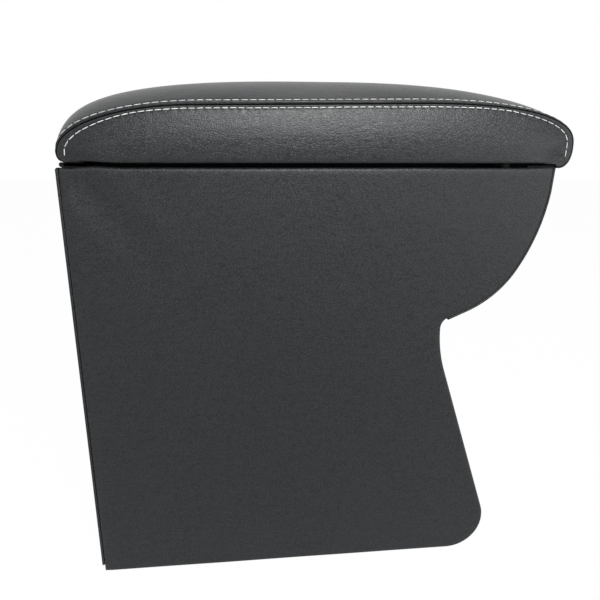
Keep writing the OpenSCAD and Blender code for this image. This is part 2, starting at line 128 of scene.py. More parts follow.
class ArmrestLid(bpy.types.PropertyGroup):
    seam_y: length("Seam", "Middle to each seam", 73.5 * MM)
    lid_height: length("Lid underside", "Lid's underside above the floor", 297.9 * MM)
    seam_height: length("Seam height", "Seam's crest above the underside", 35.9 * MM)
    seam_fall: length("Seam fall", "Seam's drop from front to rear", 2.3 * MM)
    crown_height: length("Crown height", "Crown above the underside", 54.1 * MM)
    rear_seam: length("Rear seam", "Rear end at the seams, from the back face", 1.5 * MM)
    rear_bow: length("Rear bow", "Extra reach of the rear end at the middle", 5 * MM)
    front_over: length("Front overhang", "Front end past the box at the seams", 10.2 * MM)
    front_bow: length("Front bow", "Extra reach of the front at the middle", 4.2 * MM)
    side_bulge: length("Side bulge", "How far the side panels bulge", 4.8 * MM)
    front_dip: length("Front dip", "How far the lower front edge hangs", 3.8 * MM)
    side_dip: length("Side dip", "How far the lower side edges hang", 1.1 * MM)
    hem: length("Lid hem", "Width turned under the lid", 13 * MM)
    skin: length("Leatherette", "Thickness of the lid's leatherette", 1.2 * MM)
    columns: IntProperty(
        name="Columns", description="Stitches along each seam", default=70, min=20
    )


class ArmrestStitching(bpy.types.PropertyGroup):
    dash_share: FloatProperty(
        name="Stitch share", description="Length of a stitch in its pitch", default=0.88
    )
    thread_radius: length("Thread", "Radius of the sewing thread", 0.33 * MM)
    side_row: length("Side row", "Stitch row below the seam", 2.3 * MM)
    side_row_spread: length("Side row spread", "Extra at the ends of a seam", 3.4 * MM)
    strip_row: length("Strip row", "Stitch row above the seam", 3.4 * MM)
    valley: length("Valley", "Depth of the seam's valley", 1.3 * MM)


class ArmrestFinish(bpy.types.PropertyGroup):
    leather: tint("Leatherette", "Colour of the leatherette", (0.0114, 0.0127, 0.0141))
    thread: tint("Thread", "Colour of the sewing thread", (0.58, 0.58, 0.565))
    felt: tint("Felt", "Colour of the felt", (0.014, 0.0145, 0.016))
    board: tint("Plywood", "Colour of the plywood", (0.62, 0.45, 0.27))
    steel: tint("Steel", "Colour of the zinc-plated steel", (0.60, 0.60, 0.58))
    grain: length("Grain", "Size of the leatherette's pebbles", 1.5 * MM)


class ArmrestStage(bpy.types.PropertyGroup):
    eye: FloatVectorProperty(
        name="Eye", description="Place of the camera", size=3, subtype="TRANSLATION",
        default=(-0.0473, -0.4016, 0.2947),
    )
    pitch: degrees("Pitch", "Camera's turn up from straight down", 75.2)
    yaw: degrees("Yaw", "Camera's turn to the left", -5.42)
    lens: FloatProperty(name="Lens", description="Focal length in mm", default=30.15)
    key: FloatProperty(name="Key", description="Power of the high softbox", default=46)
    fill: FloatProperty(name="Fill", description="Power of the side softbox", default=5.5)


# Node helpers for the finishes


class Finish:
    """A material under construction, with short calls for its nodes."""

    def __init__(self, name):
        self.material = bpy.data.materials.new(name)
        self.material.use_nodes = True
        self.tree = self.material.node_tree
        self.tree.nodes.clear()
        self.output = self.add("ShaderNodeOutputMaterial")
        self.shader = self.add("ShaderNodeBsdfPrincipled")
        self.link(self.shader.outputs["BSDF"], self.output.inputs["Surface"])
        self.place = self.add("ShaderNodeTexCoord").outputs["Object"]

    def add(self, kind, **settings):
        node = self.tree.nodes.new(kind)
        for key, value in settings.items():
            setattr(node, key, value)
        return node

    def link(self, out, into):
        self.tree.links.new(out, into)

    def feed(self, socket, value):
        if isinstance(value, bpy.types.NodeSocket):
            self.link(value, socket)
        else:
            socket.default_value = value

    def stretched(self, scale, turn=(0, 0, 0), place=None):
        node = self.add("ShaderNodeMapping")
        self.link(place or self.place, node.inputs["Vector"])
        node.inputs["Scale"].default_value = scale
        node.inputs["Rotation"].default_value = turn
        return node.outputs["Vector"]

    def noise(self, size, detail=2, rough=0.5, place=None, distortion=0):
        node = self.add("ShaderNodeTexNoise")
        self.link(place or self.place, node.inputs["Vector"])
        node.inputs["Scale"].default_value = 1 / size
        node.inputs["Detail"].default_value = detail
        node.inputs["Roughness"].default_value = rough
        node.inputs["Distortion"].default_value = distortion
        return node.outputs["Fac"]

    def cells(self, size, feature="F1", place=None):
        node = self.add("ShaderNodeTexVoronoi", feature=feature)
        self.link(place or self.place, node.inputs["Vector"])
        node.inputs["Scale"].default_value = 1 / size
        return node.outputs["Distance"]

    def math(self, operation, a, b=0.0):
        node = self.add("ShaderNodeMath", operation=operation)
        for socket, value in zip(node.inputs, (a, b)):
            self.feed(socket, value)
        return node.outputs[0]

    def weighed(self, a, a_share, b, b_share):
        """Sum of two patterns, each times its share."""
        return self.math(
            "ADD", self.math("MULTIPLY", a, a_share), self.math("MULTIPLY", b, b_share)
        )

    def span(self, value, low, high, to_low=0.0, to_high=1.0):
        node = self.add("ShaderNodeMapRange", interpolation_type="SMOOTHSTEP")
        for socket, item in zip(node.inputs, (value, low, high, to_low, to_high)):
            self.feed(socket, item)
        return node.outputs[0]

    def blend(self, share, a, b):
        node = self.add("ShaderNodeMix", data_type="RGBA")
        self.feed(node.inputs["Factor"], share)
        self.feed(node.inputs[6], a)
        self.feed(node.inputs[7], b)
        return node.outputs[2]

    def moved(self, amount, size, place=None):
        """Coordinates pushed about by noise, so that a pattern isn't regular."""
        node = self.add("ShaderNodeTexNoise")
        self.link(place or self.place, node.inputs["Vector"])
        node.inputs["Scale"].default_value = 1 / size
        centred = self.add("ShaderNodeVectorMath", operation="SUBTRACT")
        self.link(node.outputs["Color"], centred.inputs[0])
        centred.inputs[1].default_value = (0.5, 0.5, 0.5)
        scaled = self.add("ShaderNodeVectorMath", operation="SCALE")
        self.link(centred.outputs[0], scaled.inputs[0])
        scaled.inputs["Scale"].default_value = amount
        total = self.add("ShaderNodeVectorMath", operation="ADD")
        self.link(place or self.place, total.inputs[0])
        self.link(scaled.outputs[0], total.inputs[1])
        return total.outputs[0]

    def bump(self, height, depth, strength=1.0, below=None):
        node = self.add("ShaderNodeBump")
        node.inputs["Strength"].default_value = strength
        node.inputs["Distance"].default_value = depth
        self.link(height, node.inputs["Height"])
        if below is not None:
            self.link(below, node.inputs["Normal"])
        return node.outputs["Normal"]

    def finish(self, **sockets):
        names = {
            "colour": "Base Color", "roughness": "Roughness", "normal": "Normal",
            "metallic": "Metallic", "specular": "Specular IOR Level",
            "sheen": "Sheen Weight", "sheen_roughness": "Sheen Roughness",
        }
        for key, value in sockets.items():
            self.feed(self.shader.inputs[names[key]], value)
        return self.material


def rgba(colour, share=1.0):
    return (*[channel * share for channel in colour], 1)


def leatherette(looks, name="leatherette", creased=0.0, dull=0.36):
    """Pebbles parted by fine valleys, drawn lines, soft waves and perhaps long creases."""
    f = Finish(name)
    size = looks.grain
    drift = f.moved(1.1 * size, 1.8 * size, f.stretched((0.72, 1, 1.15)))
    valleys = f.span(f.cells(size, "DISTANCE_TO_EDGE", drift), 0.0, 0.2)
    fine = f.cells(0.42 * size, place=drift)
    drawn = f.stretched((0.42, 1, 1.5), place=f.moved(4 * MM, 12 * MM))
    lines = f.noise(2.2 * size, 4, 0.62, drawn, 0.3)
    pebbles = f.weighed(valleys, 0.5, fine, 0.22)
    grain = f.math("ADD", pebbles, f.math("MULTIPLY", lines, 0.75))
    soft = f.bump(f.noise(24 * MM, 3), 1.1 * MM, 0.3)
    if creased:
        long_folds = f.noise(4 * MM, 3, 0.55, f.stretched((0.3, 0.7, 1.15)), 0.6)
        soft = f.bump(f.span(long_folds, 0.3, 0.72), creased, 0.5, soft)
    normal = f.bump(grain, 0.2 * MM, 0.5, soft)
    tone = f.span(grain, 0.45, 1.15)
    colour = f.blend(tone, rgba(looks.leather, 0.6), rgba(looks.leather, 1.3))
    patch = f.math("ADD", f.math("MULTIPLY", f.noise(50 * MM, 3), 0.5), grain)
    rough = f.span(patch, 0.6, 1.6, dull, dull + 0.1)
    return f.finish(colour=colour, roughness=rough, normal=normal, specular=0.27)


def leatherette_painted_shade(looks):
    """The same leatherette with painted shade, darkened and dulled, for the seam's valley,
    the fold beside it and the hems under the lid.
    """
    f = Finish("leatherette_painted_shade")
    grain = f.cells(looks.grain, place=f.moved(looks.grain, 2 * looks.grain))
    tone = f.span(grain, 0.1, 0.9)
    # Painted shade: the leather colour cut to a tenth to a fifth, with low specular
    colour = f.blend(tone, rgba(looks.leather, 0.1), rgba(looks.leather, 0.22))
    return f.finish(
        colour=colour, roughness=f.span(grain, 0, 1, 0.75, 0.9),
        normal=f.bump(grain, 0.12 * MM, 0.6), specular=0.06,
    )


def black_steel(looks):
    """Steel strip under black lacquer, worn thin in rubbed patches."""
    f = Finish("black_steel")
    dull = f.noise(6 * MM, 4, 0.6)
    rubbed = f.noise(1.1 * MM, 4, 0.7, f.stretched((3, 0.6, 3)))
    worn = f.span(f.math("MULTIPLY", dull, rubbed), 0.34, 0.44)
    colour = f.blend(worn, (0.006, 0.006, 0.0065, 1), rgba(looks.steel, 0.12))
    return f.finish(
        colour=colour, metallic=f.math("MULTIPLY", worn, 0.8),
        roughness=f.span(dull, 0.2, 0.8, 0.45, 0.6), normal=f.bump(rubbed, 0.03 * MM, 0.6),
        specular=0.2,
    )


def sewing_thread(looks):
    """Bonded thread, twisted along its length, a little soiled."""
    f = Finish("thread")
    twist = f.add("ShaderNodeTexWave", wave_type="BANDS", bands_direction="DIAGONAL")
    f.link(f.place, twist.inputs["Vector"])
    twist.inputs["Scale"].default_value = 1 / (2.4 * MM)
    twist.inputs["Distortion"].default_value = 1.5
    soil = f.noise(9 * MM, 3)
    colour = f.blend(f.span(soil, 0.3, 0.75), rgba(looks.thread), rgba(looks.thread, 0.68))
    return f.finish(
        colour=colour, roughness=f.span(soil, 0, 1, 0.5, 0.7),
        normal=f.bump(twist.outputs["Fac"], 0.12 * MM, 0.6), sheen=0.15,
    )


def felt(looks):
    """Needled felt: tangled fibres with a dull nap."""
    f = Finish("felt")
    drift = f.moved(3 * MM, 4 * MM)
    fibres = f.noise(0.5 * MM, 4, 0.7, drift, 1.2)
    clumps = f.noise(5 * MM, 3, 0.6)
    mixed = f.weighed(fibres, 0.7, clumps, 0.4)
    colour = f.blend(f.span(mixed, 0.3, 0.8), rgba(looks.felt, 0.6), rgba(looks.felt, 1.7))
    return f.finish(
        colour=colour, roughness=f.span(fibres, 0, 1, 0.88, 0.98),
        normal=f.bump(mixed, 0.5 * MM, 0.8), specular=0.1, sheen=0.08, sheen_roughness=0.6,
    )


def plywood(looks, across, ply):
    """Birch plywood: long grain on the faces, and plies along the thickness axis."""
    f = Finish("plywood_" + across)
    apart = f.add("ShaderNodeSeparateXYZ")
    f.link(f.place, apart.inputs[0])
    depth = f.math("DIVIDE", apart.outputs[across.upper()], ply)
    step = f.math("FLOOR", f.math("ADD", depth, 0.02))
    band = f.math("PINGPONG", step, 1.0)
    along = {"x": (4, 4, 0.35), "y": (0.35, 4, 4), "z": (0.35, 4, 4)}[across]
    drift = f.moved(3 * MM, 30 * MM)
    fibre = f.noise(2.2 * MM, 5, 0.65, f.stretched(along, place=drift))
    pores = f.noise(0.4 * MM, 2, 0.5, f.stretched(along))
    tone = f.weighed(fibre, 0.75, pores, 0.25)
    light = f.blend(f.span(tone, 0.3, 0.75), rgba(looks.board, 0.7), rgba(looks.board, 1.12))
    colour = f.blend(f.math("MULTIPLY", band, 0.35), light, rgba(looks.board, 0.5))
    return f.finish(
        colour=colour, roughness=f.span(tone, 0, 1, 0.6, 0.8),
        normal=f.bump(tone, 0.15 * MM, 0.5),
    )


def zinc_steel(looks):
    """Zinc-plated steel, rolled, with faint dull patches."""
    f = Finish("zinc_steel")
    rolled = f.noise(0.6 * MM, 3, 0.6, f.stretched((8, 0.5, 8)))
    dull = f.noise(7 * MM, 4, 0.6)
    colour = f.blend(f.span(dull, 0.35, 0.7), rgba(looks.steel), rgba(looks.steel, 0.72))
    rough = f.math("ADD", f.weighed(dull, 0.25, rolled, 0.2), 0.12)
    return f.finish(
        colour=colour, metallic=1.0, roughness=rough,
        normal=f.bump(rolled, 0.03 * MM, 0.5),
    )


def buffer_rubber():
    """Soft black rubber with a matt moulded skin."""
    f = Finish("buffer_rubber")
    bloom = f.noise(1.2 * MM, 4, 0.6)
    colour = f.blend(bloom, (0.006, 0.006, 0.006, 1), (0.014, 0.014, 0.014, 1))
    return f.finish(
        colour=colour, roughness=f.span(bloom, 0, 1, 0.75, 0.9),
        normal=f.bump(bloom, 0.08 * MM, 0.5), specular=0.15,
    )


FINISHES = {}


def material(name):
    looks = bpy.context.scene.armrest_finish
    makers = {
        "leatherette": lambda: leatherette(looks),
        "leatherette_sewn": lambda: leatherette(looks, "leatherette_sewn", 0.12 * MM, 0.3),
        "leatherette_painted_shade": lambda: leatherette_painted_shade(looks),
        "black_steel": lambda: black_steel(looks),
        "thread": lambda: sewing_thread(looks),
        "felt": lambda: felt(looks),
        "plywood_x": lambda: plywood(looks, "x", 1.5 * MM),
        "plywood_y": lambda: plywood(looks, "y", 1.3 * MM),
        "plywood_z": lambda: plywood(looks, "z", 1.3 * MM),
        "zinc_steel": lambda: zinc_steel(looks),
        "buffer_rubber": buffer_rubber,
    }
    if name not in FINISHES:
        FINISHES[name] = makers[name]()
    return FINISHES[name]


# Mesh helpers


def soft_shaded(mesh, angle=40):
    mesh.shade_smooth()
    mesh.set_sharp_from_angle(angle=math.radians(angle))


def as_piece(bm, name, finishes, body, nodes=(), angle=40):
    """Turns a bmesh into a named piece that rides on a body."""
    mesh = bpy.data.meshes.new(name)
    bm.to_mesh(mesh)
    bm.free()
    soft_shaded(mesh, angle)
    piece = bpy.data.objects.new(name, mesh)
    bpy.context.scene.collection.objects.link(piece)
    for finish in finishes:
        mesh.materials.append(material(finish))
    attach(piece, body)
    if nodes:
        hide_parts(*nodes)
    return piece


def only(kind, geom):
    return [g for g in geom if isinstance(g, kind)]


def swept(bm, vert, centre, angle, steps):
    """Carries a vertex round a centre in the side view and returns the last one."""
    turned = bmesh.ops.spin(
        bm, geom=[vert], cent=(centre[0], vert.co.y, centre[1]), axis=(0, 1, 0),
        dvec=(0, 0, 0), angle=angle, steps=steps, use_merge=False, use_duplicate=False,
    )
    return only(bmesh.types.BMVert, turned["geom_last"])[0]


def straight(bm, vert, x, z):
    end = bm.verts.new((x, vert.co.y, z))
    bm.edges.new((vert, end))
    return end


def outline_face(bm):
    bm.verts.index_update()
    return bm.faces.new(bm.verts[:])


def nose_centres(box):
    """Centres of the nose's upper and lower curves in the side view."""
    x, z = BACK_X + box.box_length - box.nose_radius, box.rim_height
    reach = box.nose_radius - box.nose_low_radius
    return (x, z), (x + reach * math.cos(box.nose_turn), z - reach * math.sin(box.nose_turn))


def trace_cheek(bm, box, y):
    """Side view of a covered cheek: rim, nose, notch and leg, down to the foot's curve."""
    slope = box.nose_slope
    upper, lower = nose_centres(box)
    reach = box.nose_radius - box.trim
    v = bm.verts.new((BACK_X + box.trim, y, box.rim_height))
    v = straight(bm, v, BACK_X + box.box_length - box.trim, box.rim_height)
    v = straight(
        bm, v, upper[0] + reach * math.cos(box.rim_turn),
        upper[1] - reach * math.sin(box.rim_turn),
    )
    v = swept(bm, v, upper, box.nose_turn - box.rim_turn, 10)
    v = swept(bm, v, lower, math.pi / 2 - slope - box.nose_turn, 14)
    notch_x = BACK_X + box.box_length - box.notch_setback
    throat_x = notch_x + box.notch_radius * (1 - math.sin(slope))
    throat_z = v.co.z - (v.co.x - throat_x) * math.tan(slope)
    notch_z = throat_z - box.notch_radius * math.cos(slope)
    v = straight(bm, v, throat_x, throat_z)
    v = swept(bm, v, (notch_x + box.notch_radius, notch_z), -(math.pi / 2 - slope), 10)
    return swept(bm, v, (notch_x + box.leg_radius, notch_z), -box.leg_lean, 12)


def close_foot(bm, v, foot, lean, rear):
    """Runs down the leg, round the foot and back along the floor."""
    drop = v.co.z - foot * (1 + math.sin(lean))
    x = v.co.x + drop * math.tan(lean)
    v = straight(bm, v, x, foot * (1 + math.sin(lean)))
    v = swept(bm, v, (x - foot * math.cos(lean), foot), math.pi / 2 + lean, 16)
    return straight(bm, v, rear, 0)


def rounded(bm, edges, radius, segments):
    bmesh.ops.bevel(
        bm, geom=edges, offset=radius, offset_type="OFFSET", segments=segments,
        profile=0.5, affect="EDGES", material=-1, clamp_overlap=True,
    )


def inner_face(bm, y):
    """The large flat face on the inner side of a cover."""
    flat = [
        f for f in bm.faces
        if f.normal.y < -0.99 and abs(f.calc_center_median().y - y) < 0.01 * MM
    ]
    return max(flat, key=lambda f: f.calc_area())


def rim_edges(bm, y):
    """Edges round the flat side of a cover that lies at y."""
    return [
        e for e in bm.edges
        if all(abs(v.co.y - y) < 0.001 * MM for v in e.verts) and len(e.link_faces) == 2
        and abs(e.link_faces[0].normal.dot(e.link_faces[1].normal)) < 0.9
    ]


def cut_through(bm, axis, place):
    """Cuts a shell by the plane at a place on an axis, and keeps both sides."""
    point, normal = [0, 0, 0], [0, 0, 0]
    point[axis], normal[axis] = place, 1
    bmesh.ops.bisect_plane(
        bm, geom=bm.verts[:] + bm.edges[:] + bm.faces[:], dist=0.001 * MM,
        plane_co=point, plane_no=normal,
    )


def sliced(bm, axis, start, stop, pitch):
    """Cuts a shell by parallel planes, so that it can take soft relief."""
    count = int((stop - start) / pitch)
    for i in range(1, count):
        cut_through(bm, axis, start + (stop - start) * i / count)


# Soft folds below the rim's rear end, in mm: start along the rim, depth, half width, length
FOLDS = ((9, 1.3, 9, 85), (52, 0.6, 10, 60), (86, 0.3, 11, 45), (-14, -0.4, 8, 70))
FOLD_RUN = (0.593, 0.805)  # how far a fold runs forwards and down for each of its length
FOLD_SPREAD = 0.5  # how much wider a fold is at its length
FOLD_START, FOLD_RISE = 4, 16  # mm from above the rim over which a fold gets its depth

WAVE_HEIGHT = 0.8  # share of the ripple that lies all over a cheek
CORNER_REACH = 0.62  # share of the cheek that the rear top corner's relief takes in
CORNER_SLACK = 0.6 * MM  # looseness of the leatherette at that corner
DEEPEST = 0.8 * MM  # no relief is deeper, or the board would show
REAR_THINNING = (9 * MM, 1.0 * MM)  # width and depth at the rear edge
RIM_THINNING = (5 * MM, 0.6 * MM)  # and at the rim


def fold_depth(box, x, z):
    """Depth of the slanting folds in which the leatherette hangs a little loose."""
    forwards, downwards = FOLD_RUN
    across, down = (x - BACK_X) / MM, (box.rim_height - z) / MM
    depth = 0.0
    for start, deep, wide, long in FOLDS:
        along = forwards * (across - start) + downwards * down
        off = downwards * (across - start) - forwards * down
        wide *= 1 + FOLD_SPREAD * max(0.0, along) / long
        rise = min(1, max(0, down + FOLD_START) / FOLD_RISE)
        depth += deep * rise * math.exp(-((along / long) ** 2) - (off / wide) ** 2)
    return depth * MM


def ripple_height(box, x, z):
    """Soft relief of the leatherette glued over a cheek, strongest at the rear top."""
    along = (x - BACK_X) / box.box_length
    up = z / box.rim_height
    corner = max(0.0, 1 - math.hypot(along, 1 - up) / CORNER_REACH)
    slant = noise.noise(Vector((20 * (along + 0.75 * up), 5 * (up - along), 1.7)))
    broad = noise.noise(Vector((5 * along, 4.5 * up, 4.2)))
    slack = CORNER_SLACK * min(1, 1.4 * corner)
    wave = box.ripple * (corner * slant + WAVE_HEIGHT * broad)
    return wave + slack - fold_depth(box, x, z)


def edge_fall(box, x, z):
    """How far the padding under the leatherette thins towards the rear edge and the rim."""
    rear = 1 - min(1, (x - BACK_X) / REAR_THINNING[0])
    rim = 1 - min(1, max(0, box.rim_height - z) / RIM_THINNING[0])
    return REAR_THINNING[1] * rear ** 2 + RIM_THINNING[1] * rim ** 2


def soften_corner(bm, box, rear):
    """Rounds the rim's rear end in the side view."""
    radius = box.corner_radius
    for step in (1 / 3, 2 / 3, 1):
        cut_through(bm, 0, rear + step * radius)
        cut_through(bm, 2, box.rim_height - step * radius)
    for v in bm.verts:
        across = (rear + radius - v.co.x) / radius
        up = (v.co.z - box.rim_height + radius) / radius
        if across > 0 and up > 0:
            share = max(across, up) / math.hypot(across, up)
            v.co.x = rear + radius - across * share * radius
            v.co.z = box.rim_height - radius + up * share * radius


def rim_wave(box, place):
    """The leatherette lies a little loose on the rim, most near its rear end."""
    near = max(0.0, 1 - (box.rim_height - place.z) / (7 * MM))
    x = place.x - BACK_X
    loose = hump(x, 24 * MM, 9 * MM) - 0.35 * hump(x, 7 * MM, 6 * MM)
    loose += 0.3 * noise.noise(Vector((x / (38 * MM), 0.4, 2.1)))
    return box.rim_wave * near * float(loose)


def cheek_cover(box, side):
    """Leatherette over a cheek's outer face and edges, turned in as a hem."""
    bm = bmesh.new()
    inner = box.half_width - 2 * box.skin - box.cheek
    rear = BACK_X + box.trim
    v = trace_cheek(bm, box, inner)
    v = close_foot(bm, v, box.foot_radius, box.leg_lean, rear)
    bm.edges.new((v, bm.verts[:][0]))
    face = outline_face(bm)
    grown = bmesh.ops.extrude_face_region(bm, geom=[face])["geom"]
    bmesh.ops.translate(
        bm, vec=(0, box.half_width - inner, 0),
        verts=only(bmesh.types.BMVert, grown),
    )
    bmesh.ops.recalc_face_normals(bm, faces=bm.faces[:])
    for y in (box.half_width, inner):
        rounded(bm, rim_edges(bm, y), box.edge_radius, 5)
    bmesh.ops.inset_region(
        bm, faces=[inner_face(bm, inner)], thickness=box.hem - box.edge_radius,
        use_even_offset=True,
    )
    bmesh.ops.delete(bm, geom=[inner_face(bm, inner)], context="FACES_ONLY")
    sliced(bm, 0, rear, BACK_X + box.box_length, 5 * MM)
    sliced(bm, 2, 0, box.rim_height, 5 * MM)
    sliced(bm, 0, rear, rear + 10 * MM, 1.6 * MM)
    sliced(bm, 2, box.rim_height - 8 * MM, box.rim_height, 1.2 * MM)
    soften_corner(bm, box, rear)
    for v in bm.verts:
        share = (v.co.y - box.half_width + box.edge_radius) / box.edge_radius
        share = min(1, max(0, share))
        relief = ripple_height(box, v.co.x, v.co.z) - edge_fall(box, v.co.x, v.co.z)
        v.co.y += share * max(relief - 0.5 * box.ripple, -DEEPEST)
        v.co.z += rim_wave(box, v.co)
    bmesh.ops.solidify(bm, geom=bm.faces[:], thickness=0.9 * box.skin)
    if side < 0:
        bmesh.ops.mirror(
            bm, geom=bm.verts[:] + bm.edges[:] + bm.faces[:], axis="Y", merge_dist=0
        )
        bmesh.ops.delete(
            bm, geom=[v for v in bm.verts if v.co.y > 0], context="VERTS"
        )
    bmesh.ops.recalc_face_normals(bm, faces=bm.faces[:])
    name = "left" if side > 0 else "right"
    return as_piece(
        bm, name + "_cheek_leatherette", ["leatherette"], "box",
        [name + "_cheek_cover"],
    )


def rounded_cover(node, radius):
    """A copy of a CAD cover with its hard edges rounded, as stretched leatherette's are."""
    bm = bmesh.new()
    bm.from_mesh(frame["nodes"][node].data)
    bmesh.ops.remove_doubles(bm, verts=bm.verts[:], dist=0.002 * MM)
    bmesh.ops.dissolve_limit(
        bm, angle_limit=math.radians(0.6), verts=bm.verts[:], edges=bm.edges[:]
    )
    hard = [
        e for e in bm.edges
        if len(e.link_faces) == 2 and e.calc_face_angle(0) > math.radians(32)
    ]
    rounded(bm, hard, radius, 3)
    bmesh.ops.remove_doubles(bm, verts=bm.verts[:], dist=0.002 * MM)
    bmesh.ops.triangulate(bm, faces=[f for f in bm.faces if len(f.verts) > 4])
    body = frame["nodes"][node]["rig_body"]
    return as_piece(bm, node + "_leatherette", ["leatherette"], body, [node])


class ARMREST_OT_cheek_covers(bpy.types.Operator):
    """Leatherette over both cheeks, with rounded edges and turned-in hems"""

    bl_idname = "armrest.cheek_covers"
    bl_label = "Cheek Covers"

    def execute(self, context):
        for side in (1, -1):
            cheek_cover(context.scene.armrest_box, side)
        return {"FINISHED"}


class ARMREST_OT_end_covers(bpy.types.Operator):
    """Lined leatherette round the front and down the back"""

    bl_idname = "armrest.end_covers"
    bl_label = "Front and Back Covers"

    def execute(self, context):
        box = context.scene.armrest_box
        for node in ("front_cover", "back_cover"):
            rounded_cover(node, 0.4 * box.trim)
        return {"FINISHED"}


# Lid: side loops swept across the width. A pair holds a value at a seam and at the middle.

CROWN_POWER = 3.4
REAR_SHOULDER_SHARE = (0.26, 0.53)
FRONT_SHOULDER_SHARE = (0.293, 0.45)
REAR_POWER = (2.0, 3.15)
FRONT_POWER = (2.5, 2.46)
REAR_SIDE_SHARE = (0.15, 0.32)
FRONT_SIDE_SHARE = (0.3, 0.26)
REAR_CORNER = ((3.6 * MM, 8 * MM), (3.6 * MM, 11 * MM))
FRONT_CORNER = ((8 * MM, 9 * MM), (9 * MM, 10 * MM))
CORNER_STEPS = 16

# Distances of the cover's rows, from the seam over the strip and down a side panel, and
# of the panel's last rows above its lower edge
STRIP_ROWS = [m * MM for m in (
    0, 0.5, 1.0, 1.5, 2.0, 2.6, 3.3, 4.0, 4.8, 6, 8, 11, 16, 23, 32, 42, 53, 64, 73.5,
)]
SIDE_ROWS = [m * MM for m in (0, 0.5, 1.1, 1.8, 2.6, 3.4, 4.3, 5.5, 7)]
LOW_ROWS = [m * MM for m in (0.9, 0.6, 0.34, 0.14, 0)]
PANEL_ROWS = 5
PANEL_OFF = -SIDE_ROWS[-1] - 5 * MM  # all rows of a panel's middle count as this far off
LEVEL_FROM = 24 * MM  # from here a side panel is level
LOW_CORNER = 12 * MM  # a panel's lower edge is fully rounded this far from its ends


def between(pair, share):
    """From the value at a seam (share 0) to the value at the middle (share 1)."""
    return pair[0] + (pair[1] - pair[0]) * share


def quarter_bend(cx, cz, a, b, power, start, stop, steps=60):
    """Part of a superellipse in the side view, round or fuller by its power."""
    turn = np.radians(np.linspace(start, stop, steps + 1))
    c, s = np.cos(turn), np.sin(turn)
    return np.stack([
        cx + a * np.sign(c) * np.abs(c) ** (2 / power),
        cz + b * np.sign(s) * np.abs(s) ** (2 / power),
    ], 1)


def lid_loop(lid, share, depth):
    """Open side loop from the rear underside over the top to the front underside."""
    box = bpy.context.scene.armrest_box
    rear = BACK_X + lid.rear_seam - lid.rear_bow * share ** 0.7
    front = BACK_X + box.box_length + lid.front_over + lid.front_bow * share ** 0.5
    low = lid.lid_height
    rear_z = low + between(REAR_SIDE_SHARE, share) * lid.seam_height
    front_z = low + between(FRONT_SIDE_SHARE, share) * lid.seam_height
    rear_a = (front - rear) * between(REAR_SHOULDER_SHARE, share)
    front_a = (front - rear) * between(FRONT_SHOULDER_SHARE, share)
    top = between((lid.seam_height - lid.seam_fall, lid.crown_height), share)
    front_top = between((lid.seam_height, lid.crown_height), share)
    rx, rz = (between(pair, share) for pair in REAR_CORNER)
    fx, fz = (between(pair, share) for pair in FRONT_CORNER)
    return np.concatenate([
        quarter_bend(
            rear + rx, low + rz, rx - depth, rz - depth, 2, 270, 180, CORNER_STEPS
        ),
        quarter_bend(
            rear + rear_a, rear_z, rear_a - depth, low + top - rear_z - depth,
            between(REAR_POWER, share), 180, 90,
        ),
        quarter_bend(
            front - front_a, front_z, front_a - depth, low + front_top - front_z - depth,
            between(FRONT_POWER, share), 90, 0,
        ),
        quarter_bend(
            front - fx, low + fz, fx - depth, fz - depth, 2, 360, 270, CORNER_STEPS
        ),
    ])


def evenly(points, count):
    """The same line through points an equal distance apart."""
    steps = np.linalg.norm(np.diff(points, axis=0), axis=1)
    run = np.concatenate([[0], np.cumsum(steps)])
    at = np.linspace(0, run[-1], count)
    return np.stack([np.interp(at, run, points[:, k]) for k in (0, 1)], 1)


def placed(flat, y):
    """A line of the side view, set at y."""
    return np.stack([flat[:, 0], np.broadcast_to(y, flat.shape[:1]), flat[:, 1]], 1)


def bulged(lid, from_seam, from_edge, corner):
    """How far the side panel stands out: an even slope below the seam, then level."""
    even = LEVEL_FROM / 3
    past = np.clip(from_seam - even, 0, LEVEL_FROM - even)
    slope = np.minimum(from_seam, even) + past - past ** 2 / (2 * (LEVEL_FROM - even))
    share = slope / ((LEVEL_FROM + even) / 2)
    lower = np.clip(from_edge / LOW_ROWS[0], 0, 1)
    return lid.side_bulge * share * np.maximum(corner, np.sqrt(1 - (1 - lower) ** 2))


def inward(loop):
    """Directions into a side panel. At its lower corners they run along the lower edge."""
    run = np.gradient(loop, axis=0)
    into = np.stack([run[:, 1], -run[:, 0]], 1)
    into /= np.linalg.norm(into, axis=1, keepdims=True)
    for k, share in ((0, 0.0), (1, 0.5)):
        into[k] = share * into[k] + (1 - share) * np.array([1, 0])
        into[-1 - k] = share * into[-1 - k] + (1 - share) * np.array([-1, 0])
    return into / np.linalg.norm(into, axis=1, keepdims=True)


def side_rows(lid, count):
    """Rows of a side panel from the seam to its lower edge, with each row's offset."""
    loop = evenly(lid_loop(lid, 0, 0), count)
    into = inward(loop)
    rings = [loop + into * depth for depth in SIDE_ROWS]
    offsets = [-depth for depth in SIDE_ROWS]
    inner = rings[-1]
    low = lid.lid_height
    edge = np.stack([np.linspace(inner[0, 0], inner[-1, 0], count), np.full(count, low)], 1)
    tall = np.maximum(inner[:, 1] - low, 0.01 * MM)
    floor = [edge + (inner - edge) * np.minimum(1, up / tall)[:, None] for up in LOW_ROWS]
    rings += [inner + (floor[0] - inner) * k / PANEL_ROWS for k in range(1, PANEL_ROWS)]
    rings += floor
    offsets += [PANEL_OFF] * (len(rings) - len(offsets))
    rows = []
    for ring in rings:
        from_seam = np.linalg.norm(ring[:, None] - loop[None], axis=2).min(1)
        from_end = np.minimum(ring[:, 0] - inner[0, 0], inner[-1, 0] - ring[:, 0])
        corner = 1 - np.clip(from_end / LOW_CORNER, 0, 1)
        y = lid.seam_y + bulged(lid, from_seam, ring[:, 1] - low, corner)
        rows.append(placed(ring, y))
    return rows, offsets


